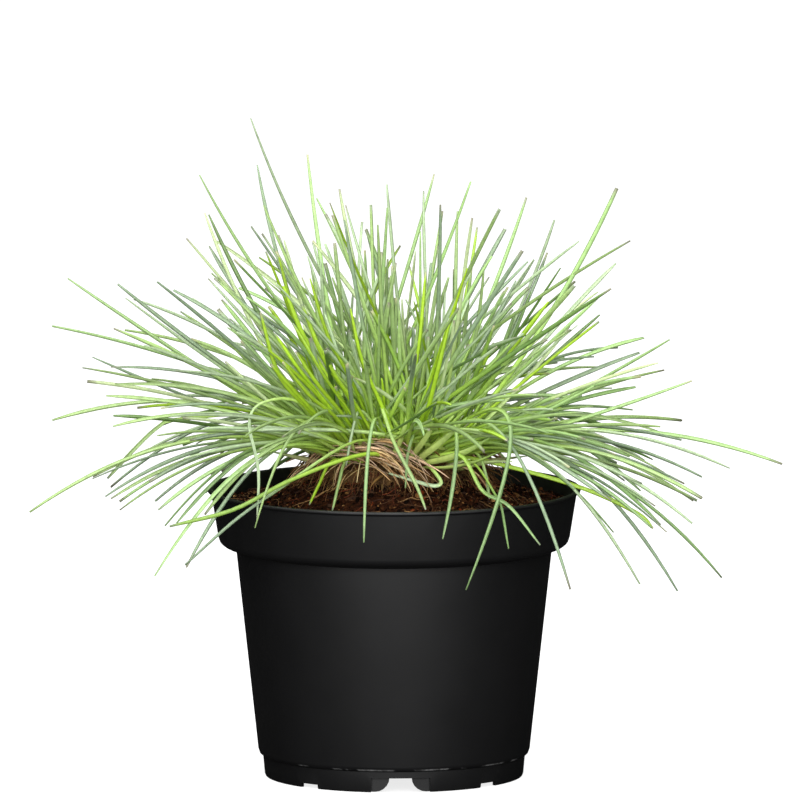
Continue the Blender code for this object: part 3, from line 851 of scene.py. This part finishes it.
def make_leaves(material):
    """One piece of leaves in place of each CAD tuft."""
    rng = random.Random(SEED)
    tufts = sorted(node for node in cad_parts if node.startswith("tuft_"))
    ends = {node: strand_ends(node) for node in tufts}
    groups = outline_by_tuft({node: ends[node][1] for node in tufts})
    for node in tufts:
        foot, tip = ends[node]
        ring = node.split("_")[1]
        strands = StrandMesh()
        if all((leaf_tip - tip).length > LEADER_SPACING for leaf_tip, *_ in groups[node]):
            leader = over_side_window(leaf_foot(tip, rng), tip, sum(FILLERS[ring][1]) / 2)
            add_leaf(strands, leader, LEADER_WIDTH, rng.choice(LEADER_COLOURS), rng)
        for leaf_tip, colour, arch, width in groups[node]:
            route = over_side_window(leaf_foot(leaf_tip, rng), leaf_tip, arch)
            add_leaf(strands, route, width, colour, rng, cut=width >= CUT_WIDTH)
        add_fillers(strands, ring, foot, tip, rng)
        if foot.y > SHOOT_DEPTH:
            add_shoots(strands, foot, tip, rng)
        leaves = strands.build(node.replace("tuft", "leaves"), material)
        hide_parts(node)
        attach(leaves, "root")


def make_hanging_leaves(material):
    """A leaf along each CAD strand that hangs over the front: from the crown over its crest to its tip."""
    rng = random.Random(SEED + 1)
    for node, (colour, width, aside) in HANGING_LOOKS.items():
        foot, tip = strand_ends(node)
        crest = max((v.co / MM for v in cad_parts[node].data.vertices), key=lambda point: point.z)
        crest = crest + Vector((aside, 0.0, 0.0))
        start = foot.lerp(Vector((0.0, 0.0, CROWN_FOOT + CROWN_HEIGHT)), 0.3)
        route = bezier(start, crest * 2 - (start + tip) / 2, tip, LEAF_RINGS)
        strands = StrandMesh()
        add_leaf(strands, route, width, colour, rng)
        leaf = strands.build(node + "_blade", material)
        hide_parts(node)
        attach(leaf, "root")


def make_routed_leaves(material):
    """The leaves with routes of their own, and the broad pale sheaths at the crown's front."""
    rng = random.Random(SEED + 2)
    strands = StrandMesh()
    for width, points in SHEATHS:
        route = smooth_route([Vector(p) for p in points], SHEATH_RINGS)
        widths = [width * (0.62 + 1.1 * t - 1.56 * t**2) for t in shares(SHEATH_RINGS)]
        colours = [linear(SHEATH_COLOUR).lerp(linear(SHEATH_TIP_COLOUR), t) for t in shares(SHEATH_RINGS)]
        strands.add(route, widths, colours, roll_deg=rng.uniform(-70, -20), flatten=0.3)
    for colour, width, points in ROUTED_LEAVES:
        route = smooth_route([Vector(p) for p in points], LEAF_RINGS)
        add_leaf(strands, route, width, colour, rng)
    leaves = strands.build("routed_leaves", material)
    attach(leaves, "root")


# Crown and thatch


def grid_faces(rows, columns):
    """Quads of a closed band of rows, each row a ring of points."""
    faces = []
    for i in range(rows - 1):
        for k in range(columns):
            a = i * columns + k
            b = i * columns + (k + 1) % columns
            faces.append((a, b, b + columns, a + columns))
    return faces


def make_crown(material):
    """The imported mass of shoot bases: a lumpy dome with clefts that run down between the shoots."""
    rows, columns = 26, 120
    points = []
    for i in range(rows):
        height_deg = -2.0 + 90.0 * i / (rows - 1)
        for k in range(columns):
            azimuth = 360 * k / columns
            point = crown_point(azimuth, height_deg, 0.96)
            ribs = math.sin(math.radians(azimuth) * 23 + 2.0 * math.sin(math.radians(azimuth) * 5))
            lump = noise.noise(point * 0.16) * 2.4 + noise.noise(point * 0.5) * 0.9 + ribs * 0.5
            out = Vector((point.x, point.y, 0.0)).normalized() if i < rows - 1 else Vector((0, 0, 1))
            up_share = max(0.0, math.sin(math.radians(height_deg)))
            shift = (out * (1 - up_share) + Vector((0, 0, 1)) * up_share) * lump
            points.append((point + shift) * MM)
    faces = grid_faces(rows, columns)
    faces.append(tuple(reversed(range(columns))))
    faces.append(tuple((rows - 1) * columns + k for k in range(columns)))
    crown = finish_piece("crown_mass", new_mesh("crown_mass", points, faces), material)
    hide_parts("crown")
    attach(crown, "root")


def settled(point, lift):
    """The point, raised if it would be in the growing medium."""
    floor = soil_height(math.hypot(point.x, point.y)) + lift
    return Vector((point.x, point.y, max(point.z, floor)))


def add_straw(strands, start, heading_deg, length, width, rng, rise, droop, colours=STRAW_COLOURS):
    """A dead leaf or sheath that sets out from start on a heading and sinks to the growing medium."""
    out = place(1.0, heading_deg, 0.0)
    middle = start + (out + Vector((0, 0, rise))) * length * 0.5
    end = start + out * length * rng.uniform(0.7, 0.95) - Vector((0, 0, droop * length))
    route = [settled(p, 0.7 + rng.uniform(0, 0.6)) for p in bezier(start, middle, end, STRAW_RINGS)]
    widths = [width * (1.0 - 0.75 * t**2) for t in shares(STRAW_RINGS)]
    base = linear(rng.choice(colours)) * rng.uniform(0.5, 1.05)
    shades = [base * (0.8 + 0.35 * t) for t in shares(STRAW_RINGS)]
    strands.add(
        route, widths, shades, roll_deg=rng.gauss(0, 50), twist_deg=rng.uniform(-160, 160), flatten=0.9
    )


def make_thatch(material):
    """Dead leaves over the crown with a sheaf across its front left, sheaths and fine root fibres."""
    rng = random.Random(SEED + 3)
    strands = StrandMesh(STRAW_SECTION, STRAW_FOLD)
    for _ in range(SHEAF_STRAWS):
        start = Vector((rng.uniform(-30, -8), rng.uniform(-37, -28), rng.uniform(148, 158)))
        add_straw(
            strands, start, rng.gauss(338, 15), rng.uniform(16, 44), rng.uniform(0.7, 1.7), rng,
            rng.uniform(-0.1, 0.35), rng.uniform(0.08, 0.5), SHEAF_COLOURS,
        )
    for _ in range(THATCH_STRAWS):
        azimuth = rng.uniform(0, 360)
        start = crown_point(azimuth, rng.uniform(8, 66), 1.0)
        add_straw(
            strands, start, azimuth + rng.gauss(0, 60), rng.uniform(10, 30), rng.uniform(0.7, 1.8), rng,
            rng.uniform(0.0, 0.5), rng.uniform(0.1, 0.6),
        )
    for _ in range(THATCH_FIBRES):
        azimuth = rng.uniform(0, 360)
        start = crown_point(azimuth, rng.uniform(-4, 40), 1.02)
        add_straw(
            strands, start, azimuth + rng.gauss(0, 50), rng.uniform(5, 16), rng.uniform(0.25, 0.6), rng,
            rng.uniform(-0.2, 0.3), rng.uniform(0.5, 1.2), STRAW_COLOURS[2:5] + FLECK_COLOURS,
        )
    thatch = strands.build("crown_thatch", material)
    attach(thatch, "root")


# Growing medium


def make_soil_skin(material):
    """The loose top of the growing medium: a thin closed disc with an uneven upper side."""
    rings, columns = 76, 240
    outer = SOIL_PROFILE[-1][0]
    tops, bottoms = [], []
    for i in range(rings):
        radius = outer * (i + 0.6) / (rings - 0.4)
        for k in range(columns):
            point = place(radius, 360 * k / columns, 0.0)
            rough = noise.noise(point * 0.09) * 0.9 + soil_lump(point) + noise.noise(point * 1.1) * 0.5
            tops.append(Vector((point.x, point.y, soil_height(radius) + SKIN_LIFT + rough)) * MM)
            bottoms.append(Vector((point.x, point.y, soil_height(radius) - SKIN_DEPTH)) * MM)
    points = tops + bottoms
    upper = grid_faces(rings, columns)
    shift = rings * columns
    faces = [tuple(reversed(face)) for face in upper] + [tuple(v + shift for v in face) for face in upper]
    last = (rings - 1) * columns
    for k in range(columns):
        a, b = last + k, last + (k + 1) % columns
        faces.append((b, a, a + shift, b + shift))
    faces.append(tuple(range(columns)))
    faces.append(tuple(shift + k for k in reversed(range(columns))))
    mesh = new_mesh("soil_surface", points, faces)
    rng = random.Random(SEED + 4)
    shades = [linear(c) for c in SOIL_COLOURS]
    tints = []
    for point in points:
        value = noise.noise(point / MM * 0.45) * 0.5 + 0.5 + rng.uniform(-0.2, 0.2)
        tints.append(shades[min(len(shades) - 1, max(0, int(value * len(shades))))])
    write_attributes(mesh, tints, [0.5] * len(points), [0.0] * len(points))
    skin = finish_piece("soil_surface", mesh, material)
    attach(skin, "root")


def scattered_radius(radii, rng):
    """A distance from the axis between the two, as likely as the area there."""
    return math.sqrt(rng.uniform(radii[0] ** 2, radii[1] ** 2))


def lump_template():
    """An icosahedron: twelve corners and twenty faces."""
    golden = (1 + math.sqrt(5)) / 2
    corners = []
    for a in (-1, 1):
        for b in (-golden, golden):
            corners += [Vector((a, b, 0)), Vector((0, a, b)), Vector((b, 0, a))]
    corners = [c.normalized() for c in corners]
    edge = min((corners[0] - c).length for c in corners[1:]) * 1.05
    faces = []
    for i in range(12):
        for j in range(i + 1, 12):
            for k in range(j + 1, 12):
                a, b, c = corners[i], corners[j], corners[k]
                if (a - b).length < edge and (b - c).length < edge and (a - c).length < edge:
                    outward = (b - a).cross(c - a).dot(a) > 0
                    faces.append((i, j, k) if outward else (i, k, j))
    return corners, faces


def make_crumbs(material):
    """Crumbs of coir and peat scattered on the surface, most of them small."""
    rng = random.Random(SEED + 5)
    corners, faces = lump_template()
    points, tints, all_faces = [], [], []
    for _ in range(CRUMBS):
        radius = scattered_radius(CRUMB_RADII, rng)
        centre = place(radius, rng.uniform(0, 360), 0.0)
        size = rng.uniform(0.28, 0.7) if rng.random() < SMALL_CRUMB_SHARE else rng.uniform(0.7, 1.5)
        centre.z = soil_height(radius) + 0.3 + soil_lump(centre) + size * 0.25
        shades = SOIL_COLOURS if rng.random() < DARK_CRUMB_SHARE else FLECK_COLOURS
        colour = linear(rng.choice(shades)) * rng.uniform(0.7, 1.3)
        axis = Vector((rng.gauss(0, 1), rng.gauss(0, 1), 1)).normalized()
        turn = Matrix.Rotation(rng.uniform(0, math.tau), 3, axis)
        shape = Vector((rng.uniform(0.7, 1.5), rng.uniform(0.6, 1.1), rng.uniform(0.45, 0.9))) * size
        first = len(points)
        for corner in corners:
            scaled = Vector([a * b for a, b in zip(corner * rng.uniform(0.8, 1.2), shape)])
            points.append((centre + turn @ scaled) * MM)
            tints.append(colour)
        all_faces += [tuple(first + v for v in face) for face in faces]
    mesh = new_mesh("soil_crumbs", points, all_faces)
    write_attributes(mesh, tints, [0.5] * len(points), [0.0] * len(points))
    crumbs = finish_piece("soil_crumbs", mesh, material)
    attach(crumbs, "root")


def make_soil_fibres(material):
    """Coir fibres and rootlets that lie on the growing medium."""
    rng = random.Random(SEED + 6)
    strands = StrandMesh(STRAW_SECTION, STRAW_FOLD)
    for _ in range(SOIL_FIBRES):
        start = place(scattered_radius(FIBRE_RADII, rng), rng.uniform(0, 360), 0.0)
        heading = rng.uniform(0, 360)
        length = rng.uniform(4, 15)
        end = start + place(length, heading, 0.0)
        middle = (start + end) / 2 + place(length * rng.uniform(-0.35, 0.35), heading + 90, 0.0)
        route = []
        for point in bezier(start, middle, end, len(FIBRE_TAPER)):
            reach = math.hypot(point.x, point.y)
            if reach > FIBRE_REACH:
                point = point * (FIBRE_REACH / reach)
            lift = 0.7 + soil_lump(point) + rng.uniform(0.0, 0.5)
            route.append(Vector((point.x, point.y, soil_height(min(reach, FIBRE_REACH)) + lift)))
        width = rng.uniform(0.25, 0.6)
        widths = [width * share for share in FIBRE_TAPER]
        colour = linear(rng.choice(FLECK_COLOURS + SOIL_COLOURS[2:4])) * rng.uniform(0.6, 1.2)
        strands.add(route, widths, [colour] * len(route), roll_deg=rng.uniform(0, 360), flatten=2.0)
    fibres = strands.build("soil_fibres", material)
    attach(fibres, "root")


# Pot


def welded_piece(name, node, material, sharp_deg):
    """The CAD node's shape, with its faces welded and smooth except at edges sharper than sharp_deg."""
    shape = bmesh.new()
    shape.from_mesh(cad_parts[node].data)
    bmesh.ops.remove_doubles(shape, verts=shape.verts, dist=0.000001)
    shape.verts.index_update()
    corners = [v.co for v in shape.verts]
    mesh = new_mesh(name, corners, [[v.index for v in f.verts] for f in shape.faces])
    shape.free()
    piece = finish_piece(name, mesh, material)
    mesh.set_sharp_from_angle(angle=math.radians(sharp_deg))
    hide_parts(node)
    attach(piece, "root")


# Stage


def stage_node(tree, kind, values):
    """A new node's first output, with its input values or links, by name or number."""
    node = tree.nodes.new(kind)
    for key, value in values.items():
        feed(node.inputs[key], value)
    return node.outputs[0]


def grey_diffuse(tree, level):
    return stage_node(tree, "ShaderNodeBsdfDiffuse", {"Color": (level, level, level, 1.0)})


def mixed(tree, factor, first, second):
    """The first shader where the factor is 0 and the second where it is 1."""
    return stage_node(tree, "ShaderNodeMixShader", {0: factor, 1: first, 2: second})


def make_floor():
    """A plain white floor with a soft shadow. Only the camera sees it bright, and gloss sees it dark."""
    half = 3.2
    corners = [(-half, -half, 0), (half, -half, 0), (half, half, 0), (-half, half, 0)]
    mesh = new_mesh("floor", corners, [(0, 1, 2, 3)])
    material = bpy.data.materials.new("floor_white")
    material.use_nodes = True
    tree = material.node_tree
    tree.nodes.clear()
    path = tree.nodes.new("ShaderNodeLightPath").outputs
    glow = stage_node(tree, "ShaderNodeEmission", {"Strength": 0.80})
    seen = stage_node(tree, "ShaderNodeAddShader", {0: glow, 1: grey_diffuse(tree, 0.30)})
    unseen = mixed(tree, path["Is Glossy Ray"], grey_diffuse(tree, 0.12), grey_diffuse(tree, 0.01))
    surface = mixed(tree, path["Is Camera Ray"], unseen, seen)
    tree.links.new(surface, tree.nodes.new("ShaderNodeOutputMaterial").inputs["Surface"])
    mesh.materials.append(material)
    floor = bpy.data.objects.new("floor", mesh)
    bpy.context.scene.collection.objects.link(floor)


def make_world():
    """White behind the object, an even fill on matt surfaces and little to reflect in gloss."""
    world = bpy.data.worlds.new("studio")
    bpy.context.scene.world = world
    world.use_nodes = True
    tree = world.node_tree
    tree.nodes.clear()
    path = tree.nodes.new("ShaderNodeLightPath").outputs
    fill, reflected, seen = [
        stage_node(tree, "ShaderNodeBackground", {"Color": (1.0, 1.0, 1.0, 1.0), "Strength": strength})
        for strength in (0.98, 0.012, 1.0)
    ]
    unseen = mixed(tree, path["Is Glossy Ray"], fill, reflected)
    surface = mixed(tree, path["Is Camera Ray"], unseen, seen)
    tree.links.new(surface, tree.nodes.new("ShaderNodeOutputWorld").inputs["Surface"])


def softbox(name, place_m, aim_m, size_m, watts, in_gloss=True):
    """A rectangular area light that points at aim_m. The camera doesn't see it, and gloss may not."""
    light = bpy.data.lights.new(name, "AREA")
    light.shape = "RECTANGLE"
    light.size = size_m[0]
    light.size_y = size_m[1]
    light.energy = watts
    lamp = bpy.data.objects.new(name, light)
    lamp.location = place_m
    lamp.rotation_euler = (Vector(aim_m) - Vector(place_m)).to_track_quat("-Z", "Y").to_euler()
    lamp.visible_camera = False
    lamp.visible_glossy = in_gloss
    bpy.context.scene.collection.objects.link(lamp)


def make_lights():
    softbox("front_softbox", (0.0, -1.5, 0.55), (0.0, 0.0, 0.14), (2.1, 1.1), 34.0)
    softbox("top_softbox", (-0.2, -0.1, 1.5), (0.0, 0.0, 0.15), (1.4, 1.4), 26.0)
    softbox("back_fill", (0.5, 1.6, 0.7), (0.0, 0.0, 0.15), (1.2, 0.8), 7.0, in_gloss=False)


def make_camera():
    """A far camera with a long lens, a little above the horizon."""
    elevation = math.radians(7.56)
    distance = 12.0
    shown_width = 0.3626
    target = Vector((0.0027, 0.0, 0.1713))
    camera_data = bpy.data.cameras.new("camera")
    camera_data.sensor_width = 36.0
    camera_data.lens = camera_data.sensor_width * distance / shown_width
    camera = bpy.data.objects.new("camera", camera_data)
    camera.location = target + Vector((0.0, -math.cos(elevation), math.sin(elevation))) * distance
    camera.rotation_euler = (target - camera.location).to_track_quat("-Z", "Y").to_euler()
    bpy.context.scene.collection.objects.link(camera)
    bpy.context.scene.camera = camera


def main():
    bpy.context.scene.view_settings.view_transform = "Standard"
    leaf = leaf_material()
    straw = straw_material()
    soil = soil_material()
    make_leaves(leaf)
    make_hanging_leaves(leaf)
    make_routed_leaves(leaf)
    make_crown(crown_material())
    make_thatch(straw)
    make_soil_skin(soil)
    make_crumbs(soil)
    make_soil_fibres(straw)
    welded_piece("pot_shell", "pot", pot_material(), 34.0)
    welded_piece("soil_plug", "growing_medium", plug_material(), 40.0)
    make_floor()
    make_world()
    make_lights()
    make_camera()


main()
